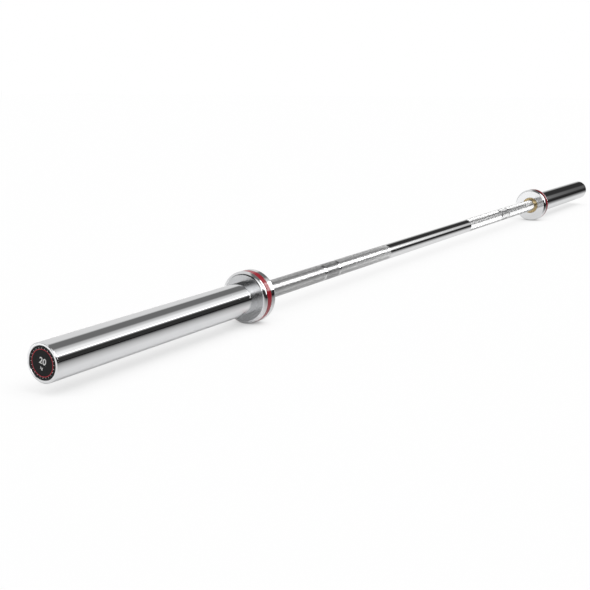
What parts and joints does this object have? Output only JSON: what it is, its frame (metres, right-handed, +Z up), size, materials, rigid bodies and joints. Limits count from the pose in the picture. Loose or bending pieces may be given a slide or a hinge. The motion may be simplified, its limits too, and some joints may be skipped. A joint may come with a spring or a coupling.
{
  "type": "olympic barbell",
  "caption": "Straight steel lifting bar with knurled grips, ring marks and a smooth middle, and polished turning sleeves with banded collars that take weight plates.",
  "frame": {"origin": "middle of the bar, on its axis", "axes": "+X along the bar towards its right end, +Z up, +Y away from the viewer in front"},
  "size_m": [2.2, 0.08, 0.08],
  "materials": {
    "shaft_steel": "hard chrome, polished in the middle and satin on the knurl",
    "sleeve_chrome": "mirror chrome",
    "band_red": "gloss red",
    "bushing_bronze": "turned bronze",
    "bearing_steel": "ground bearing steel",
    "spring_steel": "dark oiled spring steel",
    "cap_plastic": "black moulded plastic",
    "badge_print": "printed black film"
  },
  "bodies": {
    "shaft": {"shaft": "shaft_steel", "left_shaft_circlip": "spring_steel", "right_shaft_circlip": "spring_steel"},
    "left_sleeve": {"left_sleeve_tube": "sleeve_chrome", "left_collar_stop": "sleeve_chrome", "left_collar_band": "band_red", "left_collar_ring": "sleeve_chrome", "left_flanged_bushing": "bushing_bronze", "left_outer_bushing": "bushing_bronze", "left_inner_needle_shell": "bearing_steel", "left_outer_needle_shell": "bearing_steel", "left_inner_thrust_washer": "bearing_steel", "left_outer_thrust_washer": "bearing_steel", "left_sleeve_circlip": "spring_steel", "left_end_cap": "cap_plastic", "left_cap_badge": "badge_print"},
    "left_needles": {"left_inner_needle_cage": "bearing_steel", "left_outer_needle_cage": "bearing_steel", "left_inner_needle_rollers": "bearing_steel", "left_outer_needle_rollers": "bearing_steel"},
    "right_sleeve": {"right_sleeve_tube": "sleeve_chrome", "right_collar_stop": "sleeve_chrome", "right_collar_band": "band_red", "right_collar_ring": "sleeve_chrome", "right_flanged_bushing": "bushing_bronze", "right_outer_bushing": "bushing_bronze", "right_inner_needle_shell": "bearing_steel", "right_outer_needle_shell": "bearing_steel", "right_inner_thrust_washer": "bearing_steel", "right_outer_thrust_washer": "bearing_steel", "right_sleeve_circlip": "spring_steel", "right_end_cap": "cap_plastic", "right_cap_badge": "badge_print"},
    "right_needles": {"right_inner_needle_cage": "bearing_steel", "right_outer_needle_cage": "bearing_steel", "right_inner_needle_rollers": "bearing_steel", "right_outer_needle_rollers": "bearing_steel"}
  },
  "joints": [
    {"name": "left_sleeve_spin", "type": "hinge", "parent": "shaft", "child": "left_sleeve", "pos_m": [0, 0, 0], "axis": [1, 0, 0], "continuous": true},
    {"name": "left_needle_roll", "type": "hinge", "parent": "shaft", "child": "left_needles", "pos_m": [0, 0, 0], "axis": [1, 0, 0], "continuous": true},
    {"name": "right_sleeve_spin", "type": "hinge", "parent": "shaft", "child": "right_sleeve", "pos_m": [0, 0, 0], "axis": [1, 0, 0], "continuous": true},
    {"name": "right_needle_roll", "type": "hinge", "parent": "shaft", "child": "right_needles", "pos_m": [0, 0, 0], "axis": [1, 0, 0], "continuous": true}
  ],
  "couplings": [
    {"joint": "left_needle_roll", "follows": "left_sleeve_spin", "ratio": 0.54644},
    {"joint": "right_needle_roll", "follows": "right_sleeve_spin", "ratio": 0.54644}
  ]
}
